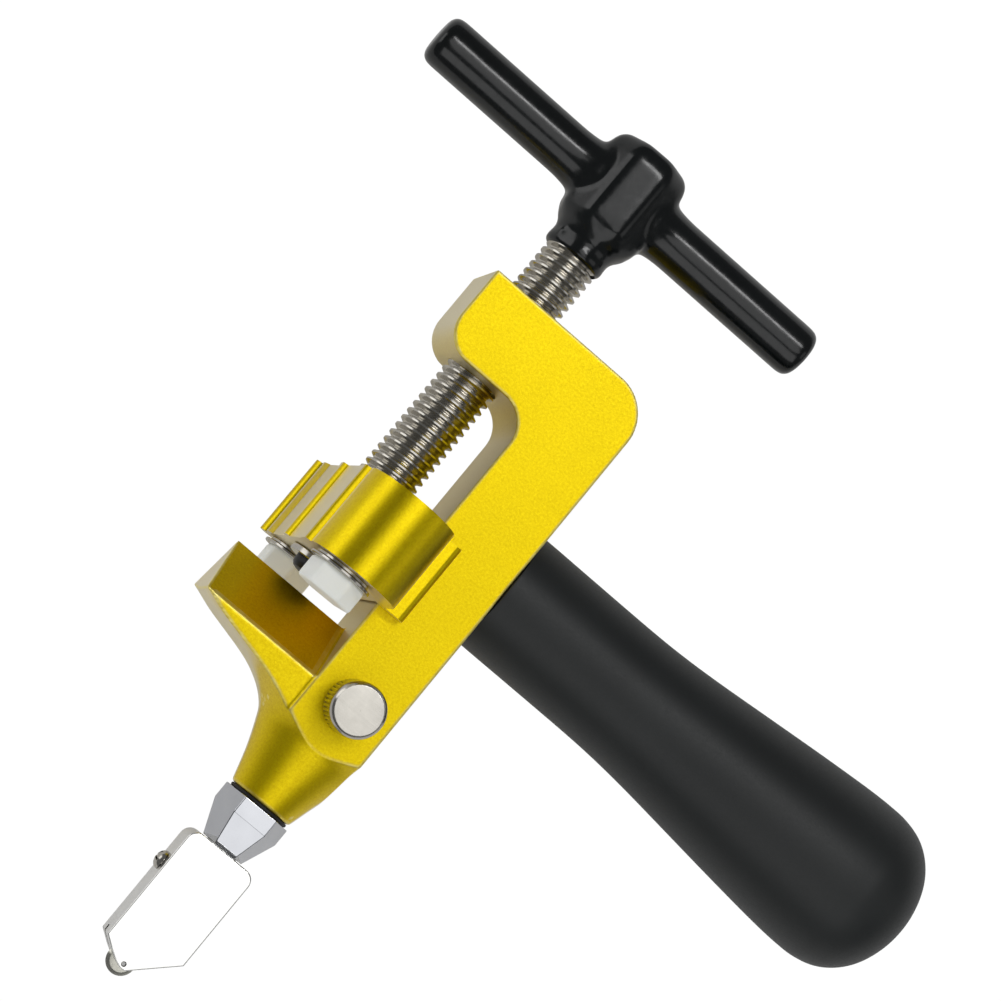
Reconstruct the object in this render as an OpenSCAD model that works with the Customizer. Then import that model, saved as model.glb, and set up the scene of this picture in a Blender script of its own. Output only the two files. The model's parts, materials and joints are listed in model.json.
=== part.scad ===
// Hand tile and glass cutter with a screw-driven breaking clamp.
// X runs toward the grip, Y runs up the clamp screw, Z comes out of the
// front face. The origin is the middle of the breaking ridge, on the
// screw axis. Millimetres.

/* [Frame] */
// Thickness of the frame bar, front to back
bar_t = 20; // [18:0.5:22]
// Width of the spine
spine_w = 14.8; // [13:0.2:16]
// Centre of the spine, measured from the screw axis
spine_x = 17.5; // [17:0.1:18.5]
// Underside of the top arm above the ridge
arm_low = 44.5; // [40:0.5:50]
// Top of the arm above the ridge
arm_top = 59.2; // [56:0.1:64]
// Free end of the arm, left of the screw axis
arm_end = 9.2; // [8:0.1:11]
// Reach of the fixed jaw, left of the screw axis
jaw_reach = 12.3; // [10:0.1:14]
// Drop of the jaw's sloping sides below the ridge
jaw_drop = 9.4; // [7:0.1:11]
// Outer corner radius of the frame
corner_r = 7.5; // [3:0.5:10]
// Throat fillet radius
throat_r = 5.5; // [2:0.5:7]
// Rounding under the free end of the arm
chin_r = 5.5; // [2:0.5:7]

/* [Clamp screw] */
// Thread diameter of the clamp screw
screw_d = 10; // [8:1:12]
// Thread pitch of the clamp screw
screw_pitch = 1.5; // [1:0.25:2]
// Journal diameter inside the press block
journal_d = 8; // [6:0.5:8.5]
// Height of the cross bar axis above the ridge
bar_y = 83.6; // [78:0.1:90]
// Half length of the cross bar with its coat
bar_half = 40.5; // [30:0.5:55]
// Diameter of the steel cross bar
rod_d = 8; // [6:0.5:8]
// Thickness of the dipped coat on the bar
coat_t = 0.55; // [0.4:0.05:1]
// Size of the hub across its faces with its coat
hub_w = 14.6; // [13:0.2:18]
// Lower edge of the coat on the screw
coat_low = 70.2; // [66:0.2:74]
// Top of the hub
hub_top = 92.4; // [90:0.2:96]

/* [Press block] */
// Underside of the press block at rest
block_low = 5.8; // [4.5:0.1:8]
// Height of the press block
block_h = 14.9; // [12:0.1:18]
// Radius of the round lobes
lobe_r = 8.3; // [7:0.1:9]
// Lobe and pad distance from the middle plane
lobe_z = 19.4; // [17:0.1:22]
// Clearance between the guide flanges and the frame
guide_gap = 0.3; // [0.2:0.05:0.5]
// Flange thickness
flange_t = 2.4; // [1.6:0.1:3]

/* [Pads] */
// Size of the pad bolt head across flats
pad_af = 9; // [8:0.5:10]
// Height of the pad bolt head
pad_h = 4; // [3:0.1:5]
// Washer thickness
washer_t = 1.2; // [0.8:0.1:1.6]
// Washer outside diameter
washer_d = 11.6; // [10:0.1:12.5]

/* [Cutter] */
// Axis of the locking screw below the ridge
lock_y = -9.5; // [-11:0.1:-8]
// Locking screw head diameter
lock_d = 9.4; // [8:0.1:10]
// Locking screw head height
lock_h = 8.3; // [5:0.1:10]
// Cutter shank diameter
shank_d = 6; // [5:0.5:6]
// Collar across flats
collar_af = 11; // [10:0.1:12]
// Cutting head width
head_w = 12.8; // [11:0.1:14]
// Cutting head thickness
head_t = 9.4; // [7:0.1:10]
// Top of the cutting head below the ridge
head_top = -39.6; // [-40.5:0.1:-39.5]
// Cutting wheel diameter
wheel_d = 5; // [4:0.1:6]

/* [Grip] */
// Height of the grip axis above the ridge
grip_y = 21.4; // [18:0.1:24]
// Full length of the grip
grip_l = 88.6; // [80:0.1:100]
// Radius of the grip at the frame
grip_r = 11; // [9:0.1:12]
// Largest radius of the grip
bulb_r = 14.85; // [13:0.05:16]

/* [Hidden] */
$fn = 96;
e = 0.01;
gold = [0.90, 0.76, 0.05];
nickel = [0.78, 0.77, 0.74];
dark = [0.10, 0.11, 0.11];
half_t = bar_t / 2;
spine_l = spine_x - spine_w / 2;
spine_r = spine_x + spine_w / 2;
nose_end = -30;
block_top = block_low + block_h;
slot_half = half_t + guide_gap;
// Pad centres and lobe centres along X: the block stands turned a little on the screw
function pad_x(s) = s > 0 ? 1.15 : -1.3;
function lobe_x(s) = s > 0 ? 2.9 : 0.6;
run = 0.05;
wheel_x = 16.4;
wheel_y = -63.1;
// Height of the small screw on the head's left edge
side_y = -46.8;
// Turned profile of the nose and of the jaw's underside: radius, height
turned = [[0, nose_end], [5.5, nose_end], [5.9, nose_end + 0.4],
          [6.5, -27.6], [7.3, -24.9], [8.2, -22.4], [9.2, -20],
          [10, -18.3], [11.2, -16.9], [13, -15.5], [15.4, -14.2],
          [18.1, -13.2], [22.2, -12.1], [26.5, -11], [30, -9.8],
          [34, -8.6], [70, -8.6], [70, 80], [0, 80]];
// Grip outline: distance along the axis, radius
grip_out = [[0, 0], [0, grip_r - 0.9], [0.3, grip_r - 0.3], [1, grip_r],
            [25, grip_r], [31, grip_r + 0.2], [38, grip_r + 0.75],
            [49, grip_r + 1.75], [58, grip_r + 2.65], [66, grip_r + 3.35],
            [71, grip_r + 3.7], [75, bulb_r], [78, bulb_r - 0.15],
            [81, bulb_r - 1], [83.5, bulb_r - 2.5], [85.5, bulb_r - 4.6],
            [87, bulb_r - 7.2], [88, bulb_r - 10], [88.4, bulb_r - 12.4],
            [grip_l, 0]];

// Cylinder along +Y starting at height y
module ycyl(r, y, l, x = 0, z = 0, f = 96)
    translate([x, y, z]) rotate([-90, 0, 0]) cylinder(r = r, h = l, $fn = f);
// Cylinder along +X starting at x
module xcyl(r, x, l, y = 0, z = 0, f = 96)
    translate([x, y, z]) rotate([0, 90, 0]) cylinder(r = r, h = l, $fn = f);
// Box from its low corner to its high corner
module box(a, b) translate(a) cube([b[0] - a[0], b[1] - a[1], b[2] - a[2]]);
// Flat shape drawn in X and Z, raised along +Y from height y
module plan(y, l) translate([0, y, 0]) rotate([-90, 0, 0])
    linear_extrude(height = l) mirror([0, 1]) children();

module c_outline() {
    difference() {
        union() {
            translate([spine_l, nose_end]) square([spine_w, arm_top - nose_end - corner_r]);
            translate([-arm_end + chin_r, arm_low])
                square([spine_r - corner_r + arm_end - chin_r, arm_top - arm_low]);
            translate([-arm_end, arm_low + chin_r])
                square([chin_r + e, arm_top - arm_low - chin_r]);
            translate([-arm_end + chin_r, arm_low + chin_r]) circle(r = chin_r);
            translate([spine_r - corner_r, arm_top - corner_r]) circle(r = corner_r);
            translate([spine_l - throat_r, arm_low - throat_r])
                square([throat_r + e, throat_r + e]);
        }
        translate([spine_l - throat_r, arm_low - throat_r]) circle(r = throat_r);
        translate([spine_l - throat_r - 3, arm_low - throat_r - 3])
            square([3, throat_r + 3]);
        translate([spine_l - throat_r - 3, arm_low - throat_r - 3])
            square([throat_r + 3, 3]);
    }
}

module frame() color(gold) difference() {
    intersection() {
        union() {
            translate([0, 0, -half_t]) linear_extrude(height = bar_t) c_outline();
            // Fixed jaw: a roof with its ridge along X
            translate([-jaw_reach, 0, 0]) rotate([0, 90, 0])
                linear_extrude(height = jaw_reach + spine_l + 1)
                    polygon([[0, 0], [half_t - 0.5, -jaw_drop], [half_t - 0.5, nose_end],
                             [0.5 - half_t, nose_end], [0.5 - half_t, -jaw_drop]]);
        }
        translate([spine_x, 0, 0]) rotate([-90, 0, 0])
            rotate_extrude($fn = 96) polygon(turned);
    }
    // Threaded way for the clamp screw
    ycyl(screw_d / 2, arm_low - 1, arm_top - arm_low + 2);
    // Cutter socket in the nose
    ycyl(shank_d / 2, nose_end - 1, 29, spine_x);
    // Tapped hole for the locking screw
    translate([spine_x, lock_y, 0]) cylinder(r = 2.5, h = half_t + 1);
    // Blind tapped hole for the grip stud
    xcyl(4, spine_r - 12, 13, grip_y);
}

module grip_stud() color("silver") xcyl(4 - run, spine_r - 11.8, 31.8, grip_y);

module grip_insert() color("goldenrod") difference() {
    union() {
        xcyl(6.4, spine_r + 0.3, 2, grip_y);
        xcyl(5.6, spine_r + 2.3, 3, grip_y);
        xcyl(6.2, spine_r + 5.3, 16.7, grip_y);
    }
    xcyl(4, spine_r, 24, grip_y);
}

module grip() color(dark) difference() {
    translate([spine_r + 0.1, grip_y, 0]) rotate([0, 90, 0])
        rotate_extrude($fn = 96) polygon([for (p = grip_out) [p[1], p[0]]]);
    xcyl(6.4, spine_r, 2.3, grip_y);
    xcyl(5.6, spine_r + 2.3 - e, 3 + 2 * e, grip_y);
    xcyl(6.2, spine_r + 5.3, 17.7, grip_y);
}

module block_plan() {
    difference() {
        union() {
            // Web between the lobes
            polygon([[-7.1, -lobe_z - 1.8], [-6.1, 10], [-6.4, lobe_z - 2],
                     [9.6, lobe_z - 2], [9.6, 1 - lobe_z], [6, -lobe_z - 1.8]]);
            // Rounded middle rib on the open side
            hull() for (z = [-2.6, -0.9]) translate([-5.9, z]) circle(r = 1.4);
            // Bead on the rear corner
            translate([-7, -lobe_z - 4]) circle(r = 1.5);
            for (s = [-1, 1]) {
                translate([lobe_x(s), s * lobe_z]) circle(r = lobe_r);
                // Wing toward the flange
                polygon([[5, s * (slot_half)], [11.2, s * slot_half],
                         [11.2, s * (s > 0 ? lobe_z : slot_half + 3)],
                         [lobe_x(s) + lobe_r, s * lobe_z], [5, s * lobe_z]]);
                // Guide flange beside the spine
                translate([8, s > 0 ? slot_half : -slot_half - flange_t])
                    square([6.9 - flange_t / 2, flange_t]);
                translate([14.9 - flange_t / 2, s * (slot_half + flange_t / 2)])
                    circle(r = flange_t / 2);
            }
        }
        // Slot that straddles the spine
        translate([9.6, -slot_half]) square([20, 2 * slot_half]);
    }
}

module press_block() color(gold) difference() {
    plan(block_low, block_h) block_plan();
    ycyl(journal_d / 2, block_low - 1, block_h + 2);
    for (s = [-1, 1]) ycyl(3, block_low - 1, 11.5, pad_x(s), s * lobe_z);
}

module pad_bolt(s) color("white") {
    plan(block_low - washer_t - pad_h, pad_h) translate([pad_x(s), s * lobe_z])
        rotate(s > 0 ? 10 : 24) circle(r = pad_af / sqrt(3), $fn = 6);
    ycyl(3 - run, block_low - washer_t - e, 11, pad_x(s), s * lobe_z);
}
module pad_bolt_front() pad_bolt(1);
module pad_bolt_rear() pad_bolt(-1);

module pad_washer(s) color(nickel) difference() {
    ycyl(washer_d / 2, block_low - washer_t, washer_t, pad_x(s), s * lobe_z);
    ycyl(3.2, block_low - washer_t - 1, washer_t + 2, pad_x(s), s * lobe_z);
}
module pad_washer_front() pad_washer(1);
module pad_washer_rear() pad_washer(-1);

module clamp_screw() color(nickel) difference() {
    union() {
        ycyl(screw_d / 2 - run, block_top + 0.3, bar_y - rod_d / 2 - 0.3 - block_top - 0.3);
        ycyl(journal_d / 2 - run, block_low - 0.1, block_h + 1);
    }
    // Tapped hole in the end of the journal
    ycyl(2.5, block_low - 1, 10);
    // Cross hole for the hub pin
    translate([0, 77.6, -8]) cylinder(r = 1.25, h = 16);
}

module thrust_washer() color(nickel) difference() {
    ycyl(5.2, block_low - 1.2, 1.1);
    ycyl(2.6, block_low - 2, 3);
}

module retaining_screw() color(dark) difference() {
    union() {
        ycyl(3.6, block_low - 3.2, 2);
        ycyl(2.5 - run, block_low - 1.5, 8);
    }
    plan(block_low - 3.3, 1.4) circle(r = 1.7, $fn = 6);
}

module hub_core() color("silver") difference() {
    box([-6.2, 76, -6.2], [6.2, 91, 6.2]);
    ycyl(screw_d / 2, 75, bar_y - rod_d / 2 - 0.2 - 75);
    xcyl(rod_d / 2, -8, 16, bar_y);
    translate([0, 77.6, -8]) cylinder(r = 1.25, h = 16);
}

module hub_pin() color("silver") translate([0, 77.6, -6.1]) cylinder(r = 1.2, h = 12.2);

module cross_bar() color("silver") xcyl(rod_d / 2 - 0.02, 1 - bar_half + coat_t, 2 * (bar_half - coat_t) - 2, bar_y);

// Hub block with its corners cut at 45 degrees all round
module hub_shape(w, y0, y1, c) intersection() {
    box([-w / 2, y0, -w / 2], [w / 2, y1, w / 2]);
    translate([0, (y0 + y1) / 2, 0]) rotate([0, 45, 0])
        cube([w * 1.4142 - c, y1 - y0 + 2, w * 1.4142 - c], center = true);
    translate([0, (y0 + y1) / 2, 0]) rotate([0, 0, 45])
        cube([(w + y1 - y0) / 1.4142 - c, (w + y1 - y0) / 1.4142 - c, w + 2], center = true);
    translate([0, (y0 + y1) / 2, 0]) rotate([45, 0, 0])
        cube([w + 2, (w + y1 - y0) / 1.4142 - c, (w + y1 - y0) / 1.4142 - c], center = true);
}

module handle_coating() color(dark) difference() {
    union() {
        hub_shape(hub_w, 74.8, hub_top, 2.6);
        ycyl(5.7, coat_low, 6);
        for (s = [0, 1]) mirror([s, 0, 0]) {
            xcyl(rod_d / 2 + coat_t, 4, bar_half - 4 - 1.6, bar_y);
            // Domed end of the coat
            translate([bar_half - 1.6, bar_y, 0]) rotate([0, 90, 0]) rotate_extrude()
                polygon([for (a = [0:10:90]) [rod_d / 2 + coat_t - 1.6 + 1.6 * cos(a), 1.6 * sin(a)],
                         [0, 1.6], [0, 0]]);
        }
    }
    box([-6.2, 76, -6.2], [6.2, 91, 6.2]);
    ycyl(screw_d / 2 - run, coat_low - 1, 7);
    xcyl(rod_d / 2 - 0.02, 1 - bar_half + coat_t, 2 * (bar_half - coat_t) - 2, bar_y);
}

module locking_screw() color(nickel) difference() {
    translate([spine_x, lock_y, 0]) union() {
        translate([0, 0, half_t + 0.2]) cylinder(r = lock_d / 2 - 0.15, h = lock_h - 0.4);
        translate([0, 0, half_t + lock_h - 0.2]) cylinder(r = lock_d / 2 - 0.5, h = 0.2);
        translate([0, 0, shank_d / 2 + 0.05]) cylinder(r = 2.5 - run, h = half_t);
        // Knurled ridges
        for (i = [0:35]) rotate(i * 10) translate([lock_d / 2 - 0.45, 0, half_t + 0.7])
            rotate(45) translate([-0.25, -0.25, 0]) cube([0.5, 0.5, lock_h - 1.6]);
    }
    // Turning centre
    translate([spine_x, lock_y, half_t + lock_h - 0.3]) cylinder(r = 0.3, h = 1, $fn = 24);
}

module cutter_shank() color("silver") difference() {
    ycyl(shank_d / 2 - run, head_top - 8.8, -2.3 - head_top + 8.8, spine_x);
    // Neck groove that holds the head on the shank
    difference() {
        ycyl(shank_d, side_y - 0.7, 1.4, spine_x);
        ycyl(2.2, side_y - 1, 3, spine_x);
    }
}

module nose_gasket() color("black") difference() {
    ycyl(5.6, nose_end - 0.6, 0.55, spine_x);
    ycyl(3.2, nose_end - 1, 2, spine_x);
}

module collar() color([0.8, 0.82, 0.86]) difference() {
    union() {
        plan(nose_end - 3.7, 3.05) translate([spine_x, 0])
            circle(r = collar_af / sqrt(3), $fn = 6);
        // Six-sided taper down to the head
        hull() {
            plan(nose_end - 3.7, 0.01) translate([spine_x, 0])
                circle(r = collar_af / sqrt(3), $fn = 6);
            plan(head_top + 0.15, 0.01) translate([spine_x, 0])
                circle(r = 4, $fn = 6);
        }
    }
    ycyl(shank_d / 2, head_top - 1, 12, spine_x);
}

// Outline of the cutting head in X and Y
module head_outline() {
    l = spine_x - head_w / 2 + 0.15;
    r = l + head_w;
    difference() {
        polygon([[l, head_top], [r, head_top], [r, -57.5], [17.2, -63.95], [16.2, -63.95],
                 [15, -63.4], [13.4, -62.5], [l, -61]]);
        // Rounded top corners
        difference() {
            translate([l - 1, head_top - 1.8]) square([2.8, 3]);
            translate([l + 1.8, head_top - 1.8]) circle(r = 1.8);
        }
        difference() {
            translate([r - 1.8, head_top - 1.8]) square([2.8, 3]);
            translate([r - 1.8, head_top - 1.8]) circle(r = 1.8);
        }
    }
}

module head_body() color(nickel) difference() {
    translate([0, 0, -head_t / 2]) linear_extrude(height = head_t) head_outline();
    // Socket for the shank
    ycyl(shank_d / 2, head_top - 9.1, 11, spine_x);
    // Slot for the wheel
    box([8, -70, -0.65], [21.5, -59.9, 0.65]);
    // Axle hole
    translate([wheel_x, wheel_y, -10]) cylinder(r = 0.45, h = 20, $fn = 32);
    // Tapped hole for the side screw
    xcyl(1.25, 8, 9, side_y);
}

module head_side_screw() color(nickel) difference() {
    union() {
        xcyl(1.2, 11.1, 3.1, side_y, 0, 48);
        // Dog point that rides in the shank's groove
        xcyl(0.6, 14, 1, side_y, 0, 48);
        translate([11.15, side_y, 0]) rotate([0, -90, 0]) rotate_extrude($fn = 48)
            polygon([[0, 0], [1.7, 0], [1.6, 0.45], [1.25, 0.85], [0.7, 1.1], [0, 1.2]]);
    }
    box([9.6, side_y - 0.2, -3], [10.4, side_y + 0.2, 3]);
}

module wheel_axle() color("silver") translate([wheel_x, wheel_y, 0.15 - head_t / 2])
    cylinder(r = 0.4, h = head_t - 0.5, $fn = 32);

module wheel() color([0.55, 0.55, 0.5]) difference() {
    translate([wheel_x, wheel_y, 0]) rotate_extrude($fn = 96)
        polygon([[0, -0.55], [wheel_d / 2 - 0.55, -0.55], [wheel_d / 2, 0],
                 [wheel_d / 2 - 0.55, 0.55], [0, 0.55]]);
    translate([wheel_x, wheel_y, -1]) cylinder(r = 0.45, h = 2, $fn = 32);
}

frame();
grip_stud();
grip_insert();
grip();
press_block();
pad_bolt_front();
pad_bolt_rear();
pad_washer_front();
pad_washer_rear();
clamp_screw();
thrust_washer();
retaining_screw();
hub_core();
hub_pin();
cross_bar();
handle_coating();
locking_screw();
cutter_shank();
nose_gasket();
collar();
head_body();
head_side_screw();
wheel_axle();
wheel();
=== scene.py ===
import bpy, bmesh, json, math, random
from mathutils import Matrix, Vector


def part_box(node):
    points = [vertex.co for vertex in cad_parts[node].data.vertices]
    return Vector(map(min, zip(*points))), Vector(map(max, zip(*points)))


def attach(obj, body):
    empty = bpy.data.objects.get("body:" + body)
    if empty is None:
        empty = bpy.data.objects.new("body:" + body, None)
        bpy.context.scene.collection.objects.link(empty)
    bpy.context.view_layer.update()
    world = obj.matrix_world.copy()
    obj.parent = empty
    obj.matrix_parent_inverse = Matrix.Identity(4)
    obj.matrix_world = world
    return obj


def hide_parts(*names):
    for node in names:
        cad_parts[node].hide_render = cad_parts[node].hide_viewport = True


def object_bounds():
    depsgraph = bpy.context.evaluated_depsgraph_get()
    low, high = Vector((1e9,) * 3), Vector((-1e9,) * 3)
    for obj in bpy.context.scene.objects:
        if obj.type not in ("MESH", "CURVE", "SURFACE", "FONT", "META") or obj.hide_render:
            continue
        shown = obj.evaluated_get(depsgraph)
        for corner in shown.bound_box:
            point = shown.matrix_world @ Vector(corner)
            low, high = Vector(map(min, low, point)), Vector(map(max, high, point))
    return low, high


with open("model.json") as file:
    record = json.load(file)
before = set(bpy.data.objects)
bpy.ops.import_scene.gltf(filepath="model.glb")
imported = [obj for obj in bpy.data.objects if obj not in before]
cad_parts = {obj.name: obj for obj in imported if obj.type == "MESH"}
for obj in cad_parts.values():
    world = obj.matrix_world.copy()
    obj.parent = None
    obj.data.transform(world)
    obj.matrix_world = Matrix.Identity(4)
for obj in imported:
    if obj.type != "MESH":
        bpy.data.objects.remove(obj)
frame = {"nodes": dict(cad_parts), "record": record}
cad_lo, cad_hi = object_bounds()
S = 0.001
PI = math.pi
TAU = 2 * math.pi

# ------------------------------------------------------------------ camera
cam_data = bpy.data.cameras.new("camera")
cam = bpy.data.objects.new("camera", cam_data)
bpy.context.scene.collection.objects.link(cam)
bpy.context.scene.camera = cam
cam_data.sensor_width = 36.0
cam_data.lens = 120.54
cam_data.clip_start = 0.01
cam_data.clip_end = 20.0
r0 = Vector((0.7489497, 0.6309080, 0.2025573))
r1 = Vector((0.6450970, -0.7640821, -0.0053302))
r2 = Vector((0.1514075, 0.1346612, -0.9792559))
rot = Matrix((r0, -r1, -r2)).transposed().to_4x4()
cam.matrix_world = Matrix.Translation(Vector((-66.231, -40.954, 534.278)) * S) @ rot

# ------------------------------------------------------------------ node helpers
def new_mat(name):
    m = bpy.data.materials.new(name)
    m.use_nodes = True
    nt = m.node_tree
    for n in list(nt.nodes):
        nt.nodes.remove(n)
    out = nt.nodes.new("ShaderNodeOutputMaterial")
    b = nt.nodes.new("ShaderNodeBsdfPrincipled")
    nt.links.new(b.outputs[0], out.inputs[0])
    return m, nt, b

def node(nt, kind, **kw):
    n = nt.nodes.new(kind)
    for k, v in kw.items():
        if k.startswith("i_"):
            key = k[2:].replace("_", " ")
            n.inputs[key].default_value = v
        else:
            setattr(n, k, v)
    return n

def coords(nt, scale=(1, 1, 1)):
    tc = node(nt, "ShaderNodeTexCoord")
    mp = node(nt, "ShaderNodeMapping")
    mp.inputs["Scale"].default_value = scale
    nt.links.new(tc.outputs["Object"], mp.inputs["Vector"])
    return mp.outputs["Vector"]

def noise(nt, vec, scale, detail=3.0, rough=0.5, dist=0.0):
    n = node(nt, "ShaderNodeTexNoise")
    n.inputs["Scale"].default_value = scale
    n.inputs["Detail"].default_value = detail
    n.inputs["Roughness"].default_value = rough
    n.inputs["Distortion"].default_value = dist
    nt.links.new(vec, n.inputs["Vector"])
    return n.outputs["Fac"]

def remap(nt, val, a, b, c, d, smooth=False):
    n = node(nt, "ShaderNodeMapRange")
    n.inputs["From Min"].default_value = a
    n.inputs["From Max"].default_value = b
    n.inputs["To Min"].default_value = c
    n.inputs["To Max"].default_value = d
    if smooth:
        n.interpolation_type = "SMOOTHSTEP"
    nt.links.new(val, n.inputs["Value"])
    return n.outputs["Result"]

def ramp(nt, val, stops):
    n = node(nt, "ShaderNodeValToRGB")
    e = n.color_ramp.elements
    while len(e) > 1:
        e.remove(e[-1])
    e[0].position, e[0].color = stops[0][0], (*stops[0][1], 1)
    for p, c in stops[1:]:
        x = e.new(p)
        x.color = (*c, 1)
    nt.links.new(val, n.inputs["Fac"])
    return n.outputs["Color"]

def mix(nt, fac, a, b, mode="MIX"):
    n = node(nt, "ShaderNodeMix", data_type="RGBA", blend_type=mode)
    if isinstance(fac, float):
        n.inputs[0].default_value = fac
    else:
        nt.links.new(fac, n.inputs[0])
    for v, i in ((a, 6), (b, 7)):
        if isinstance(v, tuple):
            n.inputs[i].default_value = (*v, 1)
        else:
            nt.links.new(v, n.inputs[i])
    return n.outputs[2]

def math_n(nt, op, a, b=None):
    n = node(nt, "ShaderNodeMath", operation=op)
    for v, i in ((a, 0), (b, 1)):
        if v is None:
            continue
        if isinstance(v, (int, float)):
            n.inputs[i].default_value = v
        else:
            nt.links.new(v, n.inputs[i])
    return n.outputs[0]

def bump(nt, b, height, strength, dist, under=None):
    n = node(nt, "ShaderNodeBump")
    n.inputs["Strength"].default_value = strength
    n.inputs["Distance"].default_value = dist
    nt.links.new(height, n.inputs["Height"])
    if under is not None:
        nt.links.new(under, n.inputs["Normal"])
    nt.links.new(n.outputs["Normal"], b.inputs["Normal"])
    return n.outputs["Normal"]

# painted edge highlight: a mask of sharp edges found by pointiness, used to lighten them
def painted_edge_highlight(nt, lo=0.52, hi=0.60):
    g = node(nt, "ShaderNodeNewGeometry")
    return remap(nt, g.outputs["Pointiness"], lo, hi, 0.0, 1.0, True)

# ------------------------------------------------------------------ materials
def mat_gold():
    m, nt, b = new_mat("gold_anodised")
    v = coords(nt)
    grain = noise(nt, v, 2500, 3, 0.7)
    fine = noise(nt, v, 7500, 2, 0.5)
    cloud = noise(nt, v, 90, 3, 0.5)
    both = math_n(nt, "ADD", math_n(nt, "MULTIPLY", grain, 0.65), math_n(nt, "MULTIPLY", fine, 0.35))
    # the sliding block is drawn and buffed, so it shines more than the frame
    sep = node(nt, "ShaderNodeSeparateXYZ")
    nt.links.new(v, sep.inputs[0])
    x, y, z = sep.outputs[0], sep.outputs[1], sep.outputs[2]
    side = math_n(nt, "GREATER_THAN", math_n(nt, "ABSOLUTE", z), 0.01012)
    inner = math_n(nt, "LESS_THAN", x, 0.00985)
    blk = math_n(nt, "MAXIMUM", side, inner)
    blk = math_n(nt, "MULTIPLY", blk, math_n(nt, "GREATER_THAN", y, 0.003))
    blk = math_n(nt, "MULTIPLY", blk, math_n(nt, "LESS_THAN", y, 0.030))
    draw = noise(nt, coords(nt, (2600, 70, 2600)), 1.0, 3, 0.55)
    base = ramp(nt, both, [(0.34, (0.80, 0.565, 0.000)), (0.50, (0.89, 0.66, 0.003)), (0.66, (0.97, 0.76, 0.008))])
    tint = ramp(nt, cloud, [(0.3, (0.95, 0.945, 0.9)), (0.7, (1.0, 1.0, 1.0))])
    col = mix(nt, 1.0, base, tint, "MULTIPLY")
    # painted reflection: the colour pales towards a whitish cream where the surface is seen at a low angle, standing in
    # for the sheen of the surroundings at grazing angles
    lw = node(nt, "ShaderNodeLayerWeight")
    lw.inputs["Blend"].default_value = 0.5
    grazing_sheen = remap(nt, lw.outputs["Facing"], 0.74, 0.86, 0.0, 0.74, True)
    col = mix(nt, grazing_sheen, col, (0.98, 0.93, 0.80))
    # painted edge highlight: sharp edges are lightened to a pale bright gold, in patches, with different pointiness
    # thresholds on the frame and the block
    wf, wb = painted_edge_highlight(nt, 0.504, 0.535), painted_edge_highlight(nt, 0.60, 0.70)
    mw = node(nt, "ShaderNodeMix", data_type="FLOAT")
    nt.links.new(blk, mw.inputs[0])
    nt.links.new(wf, mw.inputs[2])
    nt.links.new(wb, mw.inputs[3])
    edge_glint = mw.outputs[0]
    edge_glint = math_n(nt, "MULTIPLY", edge_glint, remap(nt, noise(nt, v, 700, 3), 0.3, 0.7, 0.35, 0.95))
    col = mix(nt, edge_glint, col, (1.0, 0.87, 0.30))
    nt.links.new(col, b.inputs["Base Color"])
    b.inputs["Metallic"].default_value = 1.0
    b.inputs["Coat Weight"].default_value = 0.10
    b.inputs["Coat Roughness"].default_value = 0.30
    b.inputs["Coat IOR"].default_value = 1.5
    rg = remap(nt, both, 0.3, 0.7, 0.50, 0.36)
    rb = remap(nt, draw, 0.3, 0.7, 0.38, 0.31)
    mr = node(nt, "ShaderNodeMix", data_type="FLOAT")
    nt.links.new(blk, mr.inputs[0])
    nt.links.new(rg, mr.inputs[2])
    nt.links.new(rb, mr.inputs[3])
    nt.links.new(mr.outputs[0], b.inputs["Roughness"])
    b.inputs["IOR"].default_value = 1.6
    mh = node(nt, "ShaderNodeMix", data_type="FLOAT")
    nt.links.new(blk, mh.inputs[0])
    nt.links.new(both, mh.inputs[2])
    nt.links.new(math_n(nt, "ADD", math_n(nt, "MULTIPLY", draw, 0.05), math_n(nt, "MULTIPLY", both, 0.62)), mh.inputs[3])
    bump(nt, b, mh.outputs[0], 0.36, 0.00011)
    return m

def mat_nickel(name, col=(0.62, 0.585, 0.53), rough=0.2, streak=(40, 2600, 40), amt=0.12):
    m, nt, b = new_mat(name)
    v = coords(nt)
    vs = coords(nt, streak)
    n1 = noise(nt, vs, 1.0, 3, 0.6)
    n2 = noise(nt, v, 420, 4, 0.55)
    n3 = noise(nt, v, 4200, 2, 0.5)
    c = ramp(nt, n2, [(0.3, tuple(x * 0.88 for x in col)), (0.7, tuple(min(1, x * 1.06) for x in col))])
    nt.links.new(c, b.inputs["Base Color"])
    b.inputs["Metallic"].default_value = 1.0
    r = math_n(nt, "ADD", remap(nt, n2, 0.3, 0.7, rough * 0.8, rough * 1.25), remap(nt, n1, 0.3, 0.7, -amt * 0.4, amt * 0.4))
    nt.links.new(r, b.inputs["Roughness"])
    h = math_n(nt, "ADD", math_n(nt, "MULTIPLY", n1, 0.8), math_n(nt, "MULTIPLY", n3, 0.35))
    bump(nt, b, h, 0.18, 0.00002)
    return m

def mat_polished(name, col, rough=0.06):
    m, nt, b = new_mat(name)
    v = coords(nt)
    n2 = noise(nt, v, 260, 3, 0.5)
    n3 = noise(nt, v, 2600, 3, 0.6)
    c = ramp(nt, n2, [(0.3, tuple(x * 0.94 for x in col)), (0.7, col)])
    nt.links.new(c, b.inputs["Base Color"])
    b.inputs["Metallic"].default_value = 1.0
    nt.links.new(remap(nt, n3, 0.3, 0.75, rough * 0.6, rough * 1.9), b.inputs["Roughness"])
    bump(nt, b, n3, 0.06, 0.00001)
    return m

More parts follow.
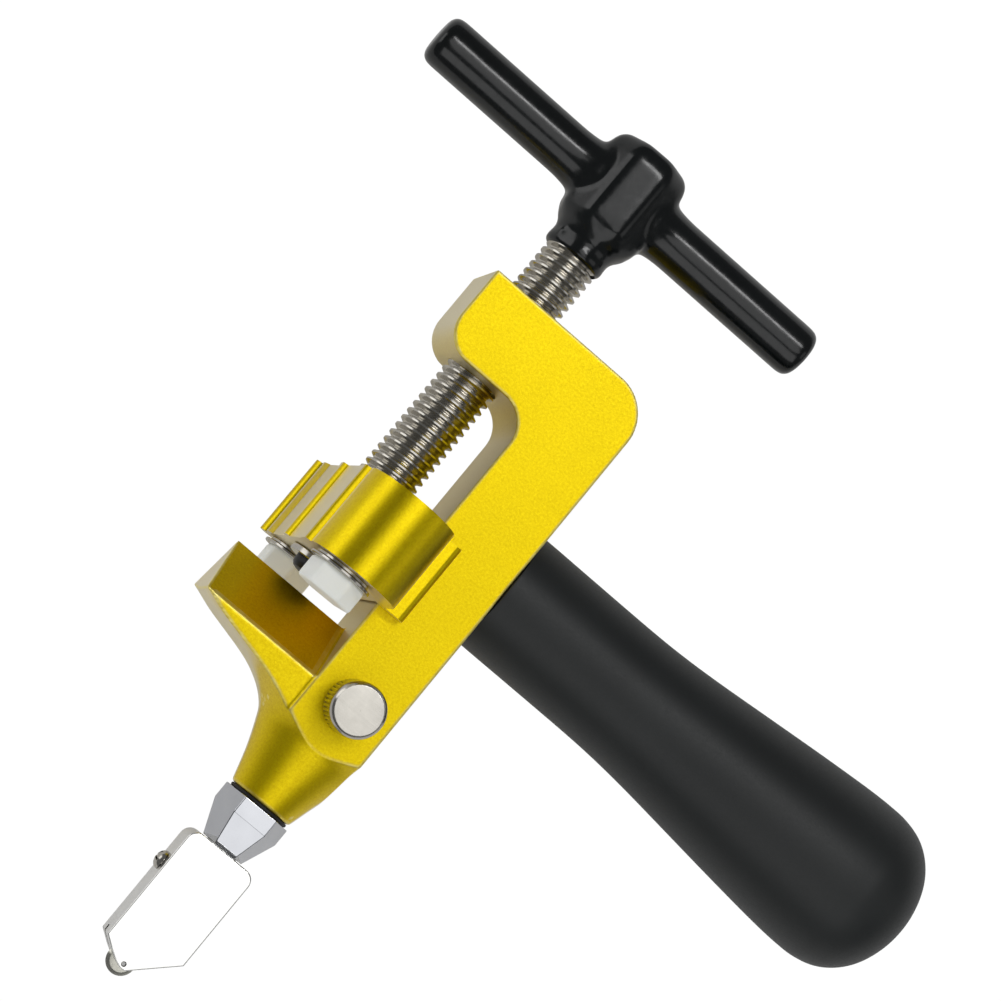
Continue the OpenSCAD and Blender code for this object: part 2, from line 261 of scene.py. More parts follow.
def mat_dip():
    m, nt, b = new_mat("dip_vinyl")
    v = coords(nt)
    n1 = noise(nt, v, 130, 2, 0.5)
    n2 = noise(nt, v, 900, 3, 0.5)
    c = ramp(nt, n1, [(0.3, (0.0015, 0.0026, 0.0028)), (0.7, (0.0035, 0.0052, 0.0056))])
    nt.links.new(c, b.inputs["Base Color"])
    nt.links.new(remap(nt, n2, 0.3, 0.7, 0.15, 0.25), b.inputs["Roughness"])
    b.inputs["IOR"].default_value = 1.46
    b.inputs["Coat Weight"].default_value = 0.15
    b.inputs["Coat Roughness"].default_value = 0.08
    h = math_n(nt, "ADD", math_n(nt, "MULTIPLY", n1, 1.0), math_n(nt, "MULTIPLY", n2, 0.10))
    bump(nt, b, h, 0.25, 0.0003)
    return m

def mat_grip():
    m, nt, b = new_mat("grip_black")
    v = coords(nt)
    n1 = noise(nt, v, 60, 2, 0.5)
    n2 = noise(nt, v, 3600, 3, 0.6)
    c = ramp(nt, n1, [(0.3, (0.0085, 0.0105, 0.0108)), (0.7, (0.0120, 0.0145, 0.0148))])
    nt.links.new(c, b.inputs["Base Color"])
    nt.links.new(remap(nt, n2, 0.3, 0.7, 0.44, 0.54), b.inputs["Roughness"])
    b.inputs["IOR"].default_value = 1.5
    bump(nt, b, n2, 0.12, 0.00003)
    return m

def mat_nylon():
    m, nt, b = new_mat("nylon_white")
    v = coords(nt)
    n1 = noise(nt, v, 260, 3, 0.5)
    n2 = noise(nt, v, 2400, 3, 0.5)
    c = ramp(nt, n1, [(0.3, (0.86, 0.87, 0.83)), (0.7, (0.93, 0.935, 0.90))])
    nt.links.new(c, b.inputs["Base Color"])
    nt.links.new(remap(nt, n2, 0.3, 0.7, 0.26, 0.38), b.inputs["Roughness"])
    b.inputs["Subsurface Weight"].default_value = 0.45
    b.inputs["Subsurface Radius"].default_value = (1.0, 0.95, 0.85)
    b.inputs["Subsurface Scale"].default_value = 0.0012
    # painted light: a faint emission makes the pads glow brighter than their lighting would make them
    b.inputs["Emission Color"].default_value = (0.80, 0.82, 0.76, 1)
    b.inputs["Emission Strength"].default_value = 0.22
    b.inputs["IOR"].default_value = 1.53
    bump(nt, b, n2, 0.08, 0.00003)
    return m

def mat_plain(name, col, metallic, rough, scale=900, var=0.12):
    m, nt, b = new_mat(name)
    v = coords(nt)
    n1 = noise(nt, v, scale, 4, 0.55)
    n2 = noise(nt, v, scale * 5, 3, 0.5)
    c = ramp(nt, n1, [(0.3, tuple(x * (1 - var) for x in col)), (0.7, tuple(min(1, x * (1 + var)) for x in col))])
    nt.links.new(c, b.inputs["Base Color"])
    b.inputs["Metallic"].default_value = metallic
    nt.links.new(remap(nt, n2, 0.3, 0.7, rough * 0.8, min(1, rough * 1.2)), b.inputs["Roughness"])
    bump(nt, b, n2, 0.12, 0.00003)
    return m

M = {
    "gold_anodised": mat_gold(),
    "nickel_screw": mat_nickel("nickel_screw", (0.56, 0.535, 0.485), 0.18),
    "nickel_head": mat_polished("nickel_head", (0.90, 0.895, 0.87), 0.09),
    "chrome_collar": mat_polished("chrome_collar", (0.60, 0.61, 0.64), 0.035),
    "plain_steel": mat_nickel("plain_steel", (0.46, 0.46, 0.45), 0.32),
    "black_oxide": mat_plain("black_oxide", (0.035, 0.035, 0.036), 0.7, 0.42),
    "carbide": mat_plain("carbide", (0.60, 0.59, 0.52), 0.9, 0.22, 1500, 0.05),
    "dip_vinyl": mat_dip(),
    "grip_black": mat_grip(),
    "nylon_white": mat_nylon(),
    "gasket_rubber": mat_plain("gasket_rubber", (0.008, 0.008, 0.008), 0.0, 0.6, 1500),
    "brass_insert": mat_plain("brass_insert", (0.70, 0.47, 0.16), 1.0, 0.3, 1200),
}
slots = {s["node"]: s["material_slot"] for s in frame["record"]["subparts"]}
body_of = {n: b for b, ns in frame["record"]["behaviour"]["bodies"].items() for n in ns}
for name, o in frame["nodes"].items():
    o.data.materials.clear()
    o.data.materials.append(M[slots[name]])

# ------------------------------------------------------------------ mesh helpers
COL = bpy.context.scene.collection

def obj_from(name, verts, faces, scale=S):
    me = bpy.data.meshes.new(name)
    me.from_pydata([(x * scale, y * scale, z * scale) for x, y, z in verts], [], faces)
    me.validate()
    o = bpy.data.objects.new(name, me)
    COL.objects.link(o)
    return o

def fix_normals(o):
    bm = bmesh.new()
    bm.from_mesh(o.data)
    bmesh.ops.recalc_face_normals(bm, faces=bm.faces)
    bm.to_mesh(o.data)
    bm.free()

def apply_mods(o):
    dg = bpy.context.evaluated_depsgraph_get()
    dg.update()
    me = bpy.data.meshes.new_from_object(o.evaluated_get(dg), depsgraph=dg)
    old = o.data
    o.modifiers.clear()
    o.data = me
    bpy.data.meshes.remove(old)

def boolean(o, other, op="DIFFERENCE", keep=False):
    md = o.modifiers.new("b", "BOOLEAN")
    md.operation = op
    md.solver = "EXACT"
    md.object = other
    apply_mods(o)
    if not keep:
        bpy.data.objects.remove(other, do_unlink=True)

def bevel(o, width, segs=2, angle=30, harden=False):
    md = o.modifiers.new("bv", "BEVEL")
    md.width = width * S
    md.segments = segs
    md.limit_method = "ANGLE"
    md.angle_limit = math.radians(angle)
    md.use_clamp_overlap = True
    md.miter_outer = "MITER_ARC" if segs > 2 else "MITER_SHARP"
    apply_mods(o)

def smooth(o, angle=30):
    me = o.data
    me.polygons.foreach_set("use_smooth", [True] * len(me.polygons))
    me.set_sharp_from_angle(angle=math.radians(angle))

def remesh(o, voxel, iters, factor=0.5):
    md = o.modifiers.new("r", "REMESH")
    md.mode = "VOXEL"
    md.voxel_size = voxel * S
    md.use_smooth_shade = True
    apply_mods(o)
    if iters:
        md = o.modifiers.new("s", "SMOOTH")
        md.factor = factor
        md.iterations = iters
        apply_mods(o)

def done(o, node_name, angle=30, mat=None, more=(), weigh=True):
    smooth(o, angle)
    if weigh:
        md = o.modifiers.new("wn", "WEIGHTED_NORMAL")
        md.mode = "FACE_AREA"
        md.weight = 100
        md.keep_sharp = True
        apply_mods(o)
    s = mat or slots[node_name]
    o.data.materials.clear()
    o.data.materials.append(M[s])
    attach(o, body_of[node_name])
    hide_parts(node_name, *more)
    return o

def lathe(name, profile, n=96, axis="Y", centre=(0, 0, 0), wobble=None):
    """profile: list of (r, h), closed on the axis by r == 0 points or caps."""
    verts, faces, rings = [], [], []
    def place(r, h, a):
        if axis == "Y":
            return (centre[0] + r * math.sin(a), centre[1] + h, centre[2] + r * math.cos(a))
        if axis == "Z":
            return (centre[0] + r * math.cos(a), centre[1] + r * math.sin(a), centre[2] + h)
        return (centre[0] + h, centre[1] + r * math.cos(a), centre[2] + r * math.sin(a))
    for r, h in profile:
        if r <= 1e-9:
            rings.append([len(verts)])
            verts.append(place(0, h, 0))
        else:
            ring = []
            for i in range(n):
                a = TAU * i / n
                rr = r + (wobble(a, h, r) if wobble else 0)
                ring.append(len(verts))
                verts.append(place(rr, h, a))
            rings.append(ring)
    for A, B in zip(rings, rings[1:]):
        for i in range(n):
            j = (i + 1) % n
            if len(A) == 1 and len(B) == 1:
                continue
            if len(A) == 1:
                faces.append((A[0], B[j], B[i]))
            elif len(B) == 1:
                faces.append((A[i], A[j], B[0]))
            else:
                faces.append((A[i], A[j], B[j], B[i]))
    closed = profile[0] == profile[-1]
    if not closed:
        if len(rings[0]) > 1:
            faces.append(tuple(rings[0]))
        if len(rings[-1]) > 1:
            faces.append(tuple(reversed(rings[-1])))
    o = obj_from(name, verts, faces)
    if closed:
        bm = bmesh.new(); bm.from_mesh(o.data)
        bmesh.ops.remove_doubles(bm, verts=bm.verts, dist=1e-8)
        bm.to_mesh(o.data); bm.free()
    fix_normals(o)
    return o

def prism(name, outline, a, b, axis="Z"):
    """outline: 2D points; Z: (x, y) raised in z; Y: (x, z) raised in y; X: (y, z) raised in x."""
    def place(p, h):
        return {"Z": (p[0], p[1], h), "Y": (p[0], h, p[1]), "X": (h, p[0], p[1])}[axis]
    n = len(outline)
    verts = [place(p, a) for p in outline] + [place(p, b) for p in outline]
    faces = [tuple(range(n)), tuple(reversed(range(n, 2 * n)))]
    faces += [(i, i + n, (i + 1) % n + n, (i + 1) % n) for i in range(n)]
    o = obj_from(name, verts, faces)
    fix_normals(o)
    return o

def arc(cx, cy, r, a0, a1, n):
    return [(cx + r * math.cos(math.radians(a0 + (a1 - a0) * i / n)),
             cy + r * math.sin(math.radians(a0 + (a1 - a0) * i / n))) for i in range(n + 1)]

def spline(pts, n):
    """Catmull-Rom through 2D points, n samples a span."""
    out = []
    P = [pts[0]] + list(pts) + [pts[-1]]
    for i in range(1, len(P) - 2):
        p0, p1, p2, p3 = P[i - 1], P[i], P[i + 1], P[i + 2]
        for k in range(n):
            t = k / n
            out.append(tuple(0.5 * ((2 * b) + (c - a) * t + (2 * a - 5 * b + 4 * c - d) * t * t + (3 * b - a - 3 * c + d) * t ** 3)
                             for a, b, c, d in zip(p0, p1, p2, p3)))
    out.append(tuple(pts[-1]))
    return out

# ------------------------------------------------------------------ frame
def mm(node_name):
    lo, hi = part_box(node_name)
    return [v / S for v in lo], [v / S for v in hi]

flo, fhi = mm("frame")
HALF = fhi[2]
SPX = 17.5
SL, SR = 10.1, 24.9
def build_frame():
    out = [(SL, -31), (SR, -31)]
    out += arc(SR - 7.5, fhi[1] - 7.5, 7.5, 0, 90, 24)
    out += [(-9.2, fhi[1]), (-9.2, 44.5 + 5.5)]
    out += arc(-9.2 + 5.5, 44.5 + 5.5, 5.5, 180, 270, 18)[1:]
    out += arc(SL - 5.5, 44.5 - 5.5, 5.5, 90, 0, 18)
    o = prism("frame_shell", out, -HALF, HALF, "Z")
    jaw = prism("jaw", [(0, 0), (-9.4, HALF - 0.5), (-31, HALF - 0.5), (-31, 0.5 - HALF), (-9.4, 0.5 - HALF)],
                -12.3, SL + 1, "X")
    boolean(o, jaw, "UNION")
    prof = spline([(5.9, -29.7), (6.5, -27.6), (7.3, -24.9), (8.2, -22.4), (9.2, -20), (10, -18.3), (11.2, -16.9),
                   (13, -15.5), (15.4, -14.2), (18.1, -13.2), (22.2, -12.1), (26.5, -11.0), (30, -9.8), (34, -8.6)], 5)
    prof = [(0, -30), (5.5, -30)] + prof + [(70, -8.5), (70, 80), (0, 80)]
    turn = lathe("turn", prof, 180, "Y", (SPX, 0, 0))
    boolean(o, turn, "INTERSECT")
    remesh(o, 0.26, 3, 0.5)
    boolean(o, lathe("h1", [(0, 40), (5.0, 40), (5.0, 62), (0, 62)], 64, "Y"), "DIFFERENCE")
    boolean(o, lathe("h2", [(0, -31), (3.0, -31), (3.0, -2), (0, -2)], 48, "Y", (SPX, 0, 0)), "DIFFERENCE")
    return done(o, "frame", 40, weigh=False)
build_frame()

# ------------------------------------------------------------------ press block
PADS = {1: (1.15, 10), -1: (-1.3, 24)}
def block_outline():
    R, zc, g, ft = 8.3, 19.4, 10.3, 2.4
    o = [(9.6, g), (13.6, g)]
    o += arc(13.7, g + ft / 2, ft / 2, -90, 90, 10)
    o += [(11.35, g + ft), (11.2, g + ft + 0.15)]
    o += arc(2.9, zc, R, 0, 189, 44)
    o += [(-5.75, 17.55), (-6.2, 17.35), (-6.38, 16.9), (-6.3, 14), (-6.12, 10)]
    o += arc(-5.9, -0.9, 1.38, 112, 180, 8)
    o += arc(-5.9, -2.6, 1.38, 180, 248, 8)
    o += arc(0.6, -zc, R, 155.1, 197.8, 12)
    o += arc(-7.0, -23.4, 1.48, 101.5, 313.7, 20)
    o += arc(0.6, -zc, R, 217.8, 360, 36)
    o += [(11.2, -g - 3), (11.2, -g - ft - 0.15), (11.35, -g - ft)]
    o += arc(13.7, -g - ft / 2, ft / 2, -90, 90, 10)
    o += [(13.6, -g), (9.6, -g)]
    # drop points that sit on top of each other
    keep = []
    for q in o:
        if not keep or math.hypot(q[0] - keep[-1][0], q[1] - keep[-1][1]) > 0.02:
            keep.append(q)
    return keep
def build_block():
    lo, hi = mm("press_block")
    o = prism("press_block_body", block_outline(), lo[1], hi[1], "Y")
    bevel(o, 0.30, 3, 35)
    boolean(o, lathe("h", [(0, 0), (4.0, 0), (4.0, 30), (0, 30)], 64, "Y"), "DIFFERENCE")
    for s in (-1, 1):
        boolean(o, lathe("h", [(0, 0), (3.0, 0), (3.0, 16.3), (0, 16.3)], 48, "Y", (PADS[s][0], 0, s * 19.4)), "DIFFERENCE")
    return done(o, "press_block", 32)
build_block()

# ------------------------------------------------------------------ clamp screw: true helix
def thread(name, node_name, r_out, pitch, depth, y0, y1, rn, extra=None, n=72):
    """Right-hand thread about the Y axis from y0 to y1, crest radius r_out."""
    prof = [(0.00, 0.0), (0.10, 0.0), (0.20, 0.28), (0.32, 0.68), (0.42, 0.95), (0.50, 1.0), (0.58, 0.95),
            (0.68, 0.68), (0.80, 0.28), (0.90, 0.0)]
    K = len(prof)
    turns = int((y1 - y0) / pitch) + 4
    rows = []
    verts, faces = [], []
    idx = {}
    for m in range(turns * K + 1):
        f, d = prof[m % K]
        s = m // K + f
        r = r_out - depth * d
        for i in range(n):
            a = TAU * i / n
            y = y0 - 2 * pitch + pitch * (s + a / TAU)
            idx[m, i] = len(verts)
            verts.append((r * math.sin(a), y, r * math.cos(a)))
    for m in range(turns * K):
        for i in range(n):
            if i < n - 1:
                q = (idx[m, i], idx[m, i + 1], idx[m + 1, i + 1], idx[m + 1, i])
            else:
                if (m + 1 + K, 0) not in idx:
                    continue
                q = (idx[m, i], idx[m + K, 0], idx[m + 1 + K, 0], idx[m + 1, i])
            faces.append(q)
    o = obj_from(name, verts, faces)
    bm = bmesh.new(); bm.from_mesh(o.data)
    for y, sgn in ((y0, -1), (y1, 1)):
        geom = bm.verts[:] + bm.edges[:] + bm.faces[:]
        bmesh.ops.bisect_plane(bm, geom=geom, dist=1e-7, plane_co=(0, y * S, 0), plane_no=(0, sgn, 0), clear_outer=True)
        edges = [e for e in bm.edges if e.is_boundary and all(abs(v.co.y - y * S) < 1e-6 for v in e.verts)]
        bmesh.ops.contextual_create(bm, geom=edges)
    bmesh.ops.recalc_face_normals(bm, faces=bm.faces)
    bm.to_mesh(o.data); bm.free()
    return o

slo, shi = mm("clamp_screw")
blo, bhi = mm("press_block")
def build_screw():
    o = thread("clamp_screw_thread", "clamp_screw", 4.95, 1.5, 0.86, bhi[1] + 0.35, shi[1] - 0.1, 0)
    j = lathe("journal", [(0, slo[1] + 9), (2.5, slo[1] + 9), (2.5, slo[1]), (3.75, slo[1]), (3.95, slo[1] + 0.2), (3.95, bhi[1] + 0.4), (0, bhi[1] + 0.4)], 72, "Y")
    boolean(o, j, "UNION")
    return done(o, "clamp_screw", 38)
build_screw()

# ------------------------------------------------------------------ T-handle coat
def build_coat():
    # hub: an eight-sided nut under a thick dipped skin
    w = 7.62
    turn = math.radians(4.5)
    def octo(k, y):
        r = w * k / math.cos(math.radians(22.5))
        return [(r * math.cos(math.radians(22.5 + 45 * i) + turn), y, r * math.sin(math.radians(22.5 + 45 * i) + turn)) for i in range(8)]
    verts, faces = [], []
    levels = [(74.6, 0.66), (75.5, 0.88), (76.7, 0.985), (78.5, 1.0), (89.2, 1.0), (91.2, 0.93), (92.35, 0.76)]
    for y, k in levels:
        verts += octo(k, y)
    n = 8
    for l in range(len(levels) - 1):
        for i in range(n):
            faces.append((l * n + i, l * n + (i + 1) % n, (l + 1) * n + (i + 1) % n, (l + 1) * n + i))
    faces.append(tuple(range(n)))
    faces.append(tuple(reversed(range((len(levels) - 1) * n, len(levels) * n))))
    o = obj_from("handle_coat", verts, faces)
    fix_normals(o)
    bevel(o, 1.5, 5, 20)
    for s in (-1, 1):
        R = 4.62
        prof = [(0, 0), (R + 0.9, 0), (R + 0.9, 6.6), (R + 0.55, 7.6), (R + 0.25, 8.8), (R + 0.06, 10.6), (R, 12), (R, 38.5)]
        prof += [(R - 1.75 + 1.75 * math.cos(math.radians(a)), 38.5 + 1.75 * math.sin(math.radians(a))) for a in (15, 30, 45, 60, 75, 90)] + [(0, 40.42)]
        b = lathe("bar", [(r, s * h) for r, h in prof], 64, "X", (0, 83.6, 0))
        boolean(o, b, "UNION")
    neck = lathe("neck", [(0, 70.0), (5.35, 70.0), (5.62, 70.6), (5.66, 71.4), (5.42, 72.4), (5.5, 73.3), (6.0, 74.3), (6.9, 75.2), (6.9, 78), (0, 78)], 64, "Y",
                 wobble=lambda a, h, r: (0.20 * math.sin(3 * a + 0.6) + 0.12 * math.sin(5 * a + 2)) * max(0, min(1, (74.8 - h) / 3)))
    boolean(o, neck, "UNION")
    # little runs and beads where the dip pooled
    for (x, y, z, r) in [(-4.4, 72.2, 2.6, 0.9), (0.6, 74.4, 5.6, 0.9), (3.6, 71.6, 3.4, 0.8), (-3.8, 71.2, -3.4, 0.9)]:
        bm = bmesh.new()
        bmesh.ops.create_icosphere(bm, subdivisions=3, radius=r * S, matrix=Matrix.Translation(Vector((x, y, z)) * S))
        me = bpy.data.meshes.new("bead"); bm.to_mesh(me); bm.free()
        b = bpy.data.objects.new("bead", me); COL.objects.link(b)
        boolean(o, b, "UNION")
    remesh(o, 0.3, 40, 0.6)
    # screw way
    boolean(o, lathe("h", [(0, 69), (4.98, 69), (4.98, 79.5), (0, 79.5)], 64, "Y"), "DIFFERENCE")
    done(o, "handle_coating", 60, weigh=False)
    core = prism("hub_core_nut", [(6.2 / math.cos(math.radians(22.5)) * math.cos(math.radians(22.5 + 45 * i) + turn),
                                   6.2 / math.cos(math.radians(22.5)) * math.sin(math.radians(22.5 + 45 * i) + turn)) for i in range(8)], 76.2, 90.6, "Y")
    bevel(core, 0.4, 2, 30)
    boolean(core, lathe("h", [(0, 75), (4.98, 75), (4.98, 79.4), (0, 79.4)], 48, "Y"), "DIFFERENCE")
    boolean(core, lathe("h", [(0, -9), (4.0, -9), (4.0, 9), (0, 9)], 48, "X", (0, 83.6, 0)), "DIFFERENCE")
    boolean(core, lathe("h", [(0, -9), (1.22, -9), (1.22, 9), (0, 9)], 24, "Z", (0, 77.6, 0)), "DIFFERENCE")
    done(core, "hub_core")
build_coat()

# ------------------------------------------------------------------ grip
def build_grip():
    lo, hi = mm("grip")
    x0, x1 = lo[0], hi[0]
    L = x1 - x0
    gr, br = 11.0, 14.85
    pts = [(gr - 0.75, 0.0), (gr - 0.25, 0.35), (gr, 1.1), (gr, 12), (gr + 0.02, 24), (gr + 0.22, 31), (gr + 0.75, 38.5), (gr + 1.72, 48.5),
           (gr + 2.65, 58), (gr + 3.36, 66), (gr + 3.72, 71), (br - 0.02, 74.6), (br - 0.12, 77.6), (br - 0.85, 80.8), (br - 2.3, 83.4),
           (br - 4.5, 85.6), (br - 7.3, 87.2), (br - 10.4, 88.2), (0, L)]
    prof = spline(pts, 5)
    prof = [(max(0, min(r, br)), max(0, min(h, L))) for r, h in prof]
    prof[-1] = (0, L)
    prof = [(6.2, 0.0)] + prof
    prof = [(0, 22.0), (6.2, 22.0)] + prof
    o = lathe("grip_skin", prof, 128, "X", (x0, 21.4, 0))
    return done(o, "grip", 35)
build_grip()

# ------------------------------------------------------------------ locking screw
def build_lock():
    lo, hi = mm("locking_screw")
    z0, z1 = 10.2, hi[2]
    R = 4.62
    N = 40
    def wob(a, h, r):
        k = (h - (z0 + 0.55)) / 0.25
        t = max(0.0, min(1.0, min((h - z0 - 0.5) / 0.2, (z1 - 1.15 - h) / 0.2)))
        return t * (0.30 * abs(math.sin(N * a / 2)) - 0.25) if r > R - 0.2 else 0
    hs = [z0 + 0.45, z0 + 0.75] + [z0 + 0.75 + (z1 - 1.3 - z0 - 0.75) * i / 10 for i in range(1, 11)] + [z1 - 1.1]
    prof = [(0, 3.05), (2.2, 3.05), (2.45, 3.4), (2.45, z0), (R - 0.5, z0), (R - 0.25, z0 + 0.25), (R - 0.1, z0 + 0.44)]
    prof += [(R, h) for h in hs]
    prof += [(R - 0.05, z1 - 0.85), (R - 0.12, z1 - 0.55), (R - 0.38, z1 - 0.2), (R - 0.62, z1 - 0.02), (R - 0.75, z1), (0.2, z1), (0.2, z1 - 0.08), (0, z1 - 0.08)]
    o = lathe("knurled_lock", prof, 240, "Z", (SPX, -9.5, 0), wob)
    return done(o, "locking_screw", 28)
build_lock()

# ------------------------------------------------------------------ pads and washers
def build_pads():
    for s, nm in ((1, "front"), (-1, "rear")):
        lo, hi = mm("pad_bolt_" + nm)
        y0, y1 = lo[1], lo[1] + 4
        r = 9 / math.sqrt(3)
        px, pa = PADS[s]
        pts = [(px + r * math.cos(math.radians(60 * i + pa)), s * 19.4 + r * math.sin(math.radians(60 * i + pa))) for i in range(6)]
        o = prism("nylon_pad_" + nm, pts, y0, y1, "Y")
        bevel(o, 0.55, 4, 30)
        sh = lathe("sh", [(0, y1 - 0.5), (2.95, y1 - 0.5), (2.95, hi[1] - 0.4), (2.5, hi[1]), (0, hi[1])], 48, "Y", (px, 0, s * 19.4))
        boolean(o, sh, "UNION")
        done(o, "pad_bolt_" + nm, 35)
        lo, hi = mm("pad_washer_" + nm)
        a, b = lo[1] + 0.02, hi[1]
        R = 5.75
        # a flat washer and, on it, a spring washer drawn as a plain closed ring
        prof = [(3.2, a), (R - 0.12, a), (R, a + 0.10), (R, a + 0.42), (R - 0.12, a + 0.52), (3.2, a + 0.52), (3.2, a)]
        o = lathe("pad_washer_ring_" + nm, prof, 96, "Y", (px, 0, s * 19.4))
        prof = [(3.3, a + 0.6), (4.85, a + 0.58), (4.98, a + 0.68), (4.98, b - 0.1), (4.86, b), (3.3, b), (3.3, a + 0.6)]
        o2 = lathe("sw", prof, 96, "Y", (px, 0, s * 19.4))
        boolean(o, o2, "UNION")
        done(o, "pad_washer_" + nm, 30)
build_pads()

def build_small():
    lo, hi = mm("thrust_washer")
    o = lathe("thrust_ring", [(2.6, lo[1]), (5.05, lo[1]), (5.2, lo[1] + 0.15), (5.2, hi[1] - 0.1), (5.1, hi[1]), (2.6, hi[1]), (2.6, lo[1])], 72, "Y")
    done(o, "thrust_washer")
    lo, hi = mm("retaining_screw")
    y = lo[1]
    o = lathe("retaining_screw_body", [(0, y + 1.3), (1.75, y + 1.3), (1.75, y), (2.4, y), (3.1, y + 0.25), (3.5, y + 0.75), (3.6, y + 1.3), (3.6, y + 1.95), (2.45, y + 2.0), (2.45, hi[1] - 0.3), (2.2, hi[1]), (0, hi[1])], 6 * 12, "Y")
    done(o, "retaining_screw")
    lo, hi = mm("nose_gasket")
    o = lathe("gasket_ring", [(3.2, lo[1]), (5.45, lo[1]), (5.6, lo[1] + 0.12), (5.6, hi[1] - 0.12), (5.45, hi[1]), (3.2, hi[1]), (3.2, lo[1])], 72, "Y", (SPX, 0, 0))
    done(o, "nose_gasket")
    lo, hi = mm("cutter_shank")
    g = -46.8
    o = lathe("shank_rod", [(0, lo[1]), (2.6, lo[1]), (2.95, lo[1] + 0.35), (2.95, g - 0.7), (2.2, g - 0.7), (2.2, g + 0.7), (2.95, g + 0.7), (2.95, hi[1] - 0.4), (2.55, hi[1]), (0, hi[1])], 64, "Y", (SPX, 0, 0))
    done(o, "cutter_shank")
build_small()

# ------------------------------------------------------------------ collar
def build_collar():
    lo, hi = mm("collar")
    r = 11 / math.sqrt(3)
    top, mid, low = hi[1], hi[1] - 3.05, lo[1]
    verts, faces = [], []
    for y, k in ((low, 4.0 / r), (mid, 1.0), (top, 1.0)):
        verts += [(SPX + r * k * math.cos(math.radians(60 * i)), y, r * k * math.sin(math.radians(60 * i))) for i in range(6)]
    for l in (0, 1):
        for i in range(6):
            faces.append((l * 6 + i, l * 6 + (i + 1) % 6, (l + 1) * 6 + (i + 1) % 6, (l + 1) * 6 + i))
    faces += [tuple(range(6)), tuple(reversed(range(12, 18)))]
    o = obj_from("collar_hex", verts, faces)
    fix_normals(o)
    bevel(o, 0.16, 3, 15)
    boolean(o, lathe("h", [(0, -45), (3.0, -45), (3.0, -25), (0, -25)], 64, "Y", (SPX, 0, 0)), "DIFFERENCE")
    # lead-in cone that cuts the six top corners
    cone = lathe("cone", [(0, low - 5), (7.5, low - 5), (7.5, top - 0.9), (6.0, top + 0.25), (0, top + 0.25)], 96, "Y", (SPX, 0, 0))
    boolean(o, cone, "INTERSECT")
    return done(o, "collar", 25)
build_collar()

# ------------------------------------------------------------------ cutting head and wheel
def build_head():
    lo, hi = mm("head_body")
    l, r, top, t = lo[0], hi[0], hi[1], hi[2]
    out = [(r, -57.5), (17.25, -63.9), (16.3, -63.95), (15.0, -63.45), (13.4, -62.5), (l, -61.0)]
    out = arc(r - 1.9, top - 1.9, 1.9, 90, 0, 8) + out + arc(l + 1.9, top - 1.9, 1.9, 180, 90, 8)
    o = prism("head_plate", out, -t, t, "Z")
    bevel(o, 0.24, 4, 30)
    boolean(o, prism("slot", [(7, -70), (21.5, -70), (21.5, -59.9), (7, -59.9)], -0.65, 0.65, "Z"), "DIFFERENCE")
    boolean(o, lathe("h", [(0, -49.1), (3.0, -49.1), (3.0, -38), (0, -38)], 64, "Y", (SPX, 0, 0)), "DIFFERENCE")
    boolean(o, lathe("h", [(0, -8), (0.45, -8), (0.45, 8), (0, 8)], 24, "Z", (16.4, -63.1, 0)), "DIFFERENCE")
    boolean(o, lathe("h", [(0, 8), (1.25, 8), (1.25, 17), (0, 17)], 32, "X", (0, -46.8, 0)), "DIFFERENCE")
    done(o, "head_body", 30)
    R = 2.5
    w = lathe("wheel_disc", [(0.45, -0.55), (1.1, -0.55), (R - 0.62, -0.5), (R - 0.03, -0.03), (R, 0), (R - 0.03, 0.03), (R - 0.62, 0.5), (1.1, 0.55), (0.45, 0.55), (0.45, -0.55)], 96, "Z", (16.4, -63.1, 0))
    done(w, "wheel", 25)
    lo, hi = mm("wheel_axle")
    a = lathe("axle_pin", [(0, lo[2]), (0.3, lo[2]), (0.4, lo[2] + 0.1), (0.4, hi[2] - 0.1), (0.3, hi[2]), (0, hi[2])], 32, "Z", (16.4, -63.1, 0))
    done(a, "wheel_axle")
    # side screw: low dome with a cross slot
    dome = [(0, 9.97), (0.55, 10.02), (1.05, 10.2), (1.4, 10.5), (1.62, 10.85), (1.7, 11.15), (1.2, 11.2), (1.2, 14.0), (0.6, 14.05), (0.6, 15), (0, 15)]
    o = lathe("side_screw_dome", dome, 64, "X", (0, -46.8, 0))
    for rot_a in (20, 110):
        c, s_ = math.cos(math.radians(rot_a)), math.sin(math.radians(rot_a))
        hw, hl = 0.2, 1.25
        pts = [(-46.8 + c * x - s_ * z, s_ * x + c * z) for x, z in ((-hl, -hw), (hl, -hw), (hl, hw), (-hl, hw))]
        boolean(o, prism("slot", pts, 9.5, 10.55, "X"), "DIFFERENCE")
    done(o, "head_side_screw", 30)
build_head()

# ------------------------------------------------------------------ stage
lo, hi = cad_lo, cad_hi
floor_z = lo[2] - 0.0004
me = bpy.data.meshes.new("floor")
me.from_pydata([(-6, -6, floor_z), (6, -6, floor_z), (6, 6, floor_z), (-6, 6, floor_z)], [], [(0, 1, 2, 3)])
floor = bpy.data.objects.new("floor", me)
COL.objects.link(floor)
fm, nt, b = new_mat("floor_white")
fv = coords(nt)
fc = ramp(nt, noise(nt, fv, 3, 2), [(0.3, (0.80, 0.80, 0.80)), (0.7, (0.84, 0.84, 0.84))])
nt.links.new(fc, b.inputs["Base Color"])
b.inputs["Roughness"].default_value = 0.9
b.inputs["Specular IOR Level"].default_value = 0.1
b.inputs["Emission Color"].default_value = (1.0, 0.985, 0.96, 1)
b.inputs["Emission Strength"].default_value = 0.14
em = nt.nodes.new("ShaderNodeEmission")
em.inputs["Strength"].default_value = 1.02
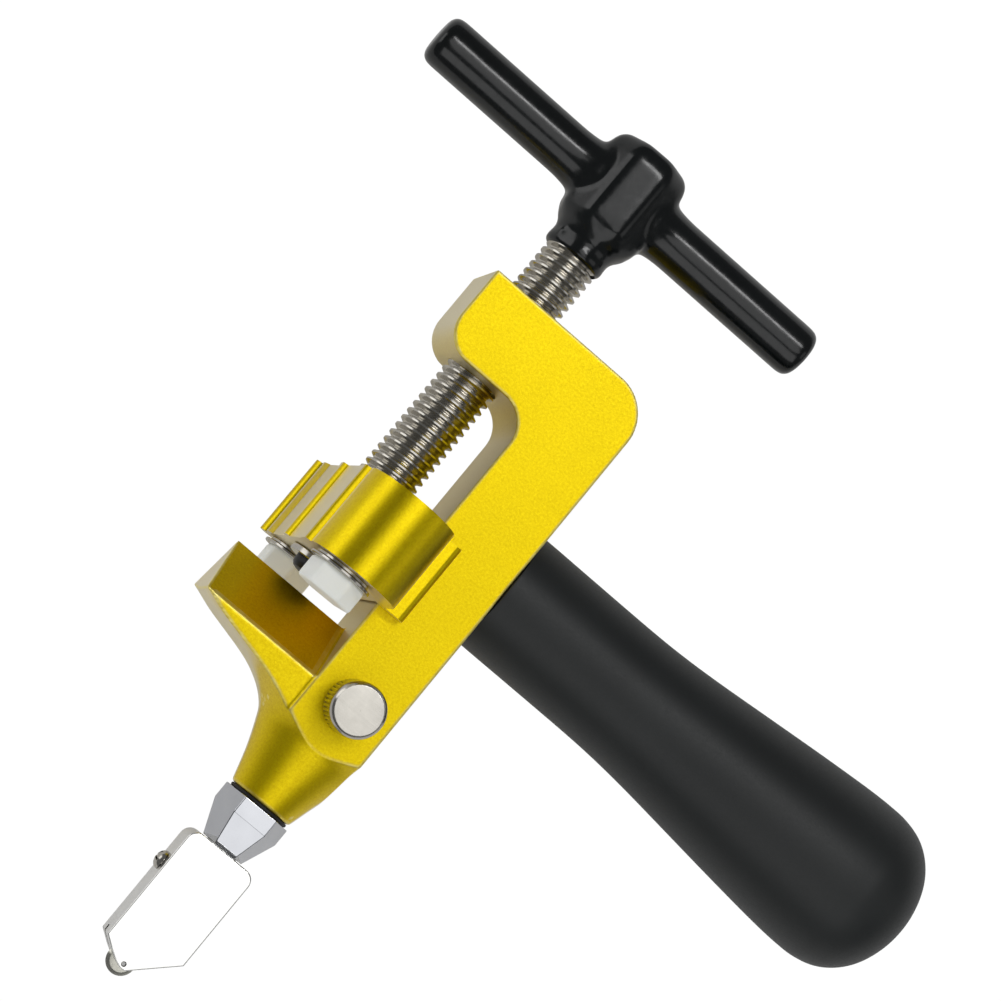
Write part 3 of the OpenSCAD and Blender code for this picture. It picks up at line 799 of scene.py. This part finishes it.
lp = nt.nodes.new("ShaderNodeLightPath")
mx = nt.nodes.new("ShaderNodeMixShader")
nt.links.new(lp.outputs["Is Camera Ray"], mx.inputs[0])
nt.links.new(b.outputs[0], mx.inputs[1])
nt.links.new(em.outputs[0], mx.inputs[2])
nt.links.new(mx.outputs[0], [n for n in nt.nodes if n.type == "OUTPUT_MATERIAL"][0].inputs[0])
me.materials.append(fm)

def area(name, loc, target, size, power, size_y=None, col=(1, 1, 1)):
    d = bpy.data.lights.new(name, "AREA")
    d.energy = power
    d.color = col
    d.size = size
    if size_y:
        d.shape = "RECTANGLE"
        d.size_y = size_y
    o = bpy.data.objects.new(name, d)
    COL.objects.link(o)
    o.location = loc
    o.rotation_euler = (Vector(target) - Vector(loc)).to_track_quat("-Z", "Y").to_euler()
    return o

U = Vector((0, 1, 0))
def softbox(name, loc, size, radiance, size_y=None, target=(0.03, 0.02, 0)):
    """A soft light given by the brightness of its face."""
    sy = size_y or size
    return area(name, loc, target, size, radiance * PI * size * sy, sy)

softbox("overhead", (0.13, 0.10, 1.0), 0.72, 1.14, 0.46)
softbox("strip", (0.12, 0.47, 0.96), 0.50, 9.0, 0.12)
softbox("left", (-0.90, 0.12, 0.24), 0.55, 1.35, 0.50)
softbox("low", (0.14, -0.44, 0.52), 0.60, 1.10, 0.46)
softbox("right", (0.80, 0.10, 0.42), 0.40, 0.45, 0.40)

w = bpy.data.worlds.new("world")
bpy.context.scene.world = w
w.use_nodes = True
nt = w.node_tree
for n in list(nt.nodes):
    nt.nodes.remove(n)
wo = nt.nodes.new("ShaderNodeOutputWorld")
bg = nt.nodes.new("ShaderNodeBackground")
nt.links.new(bg.outputs[0], wo.inputs[0])
lp = nt.nodes.new("ShaderNodeLightPath")
nt.links.new(remap(nt, lp.outputs["Is Camera Ray"], 0, 1, 0.14, 0.97), bg.inputs["Strength"])
bg.inputs["Color"].default_value = (0.96, 0.98, 1.0, 1)
bpy.context.scene.view_settings.view_transform = "Standard"
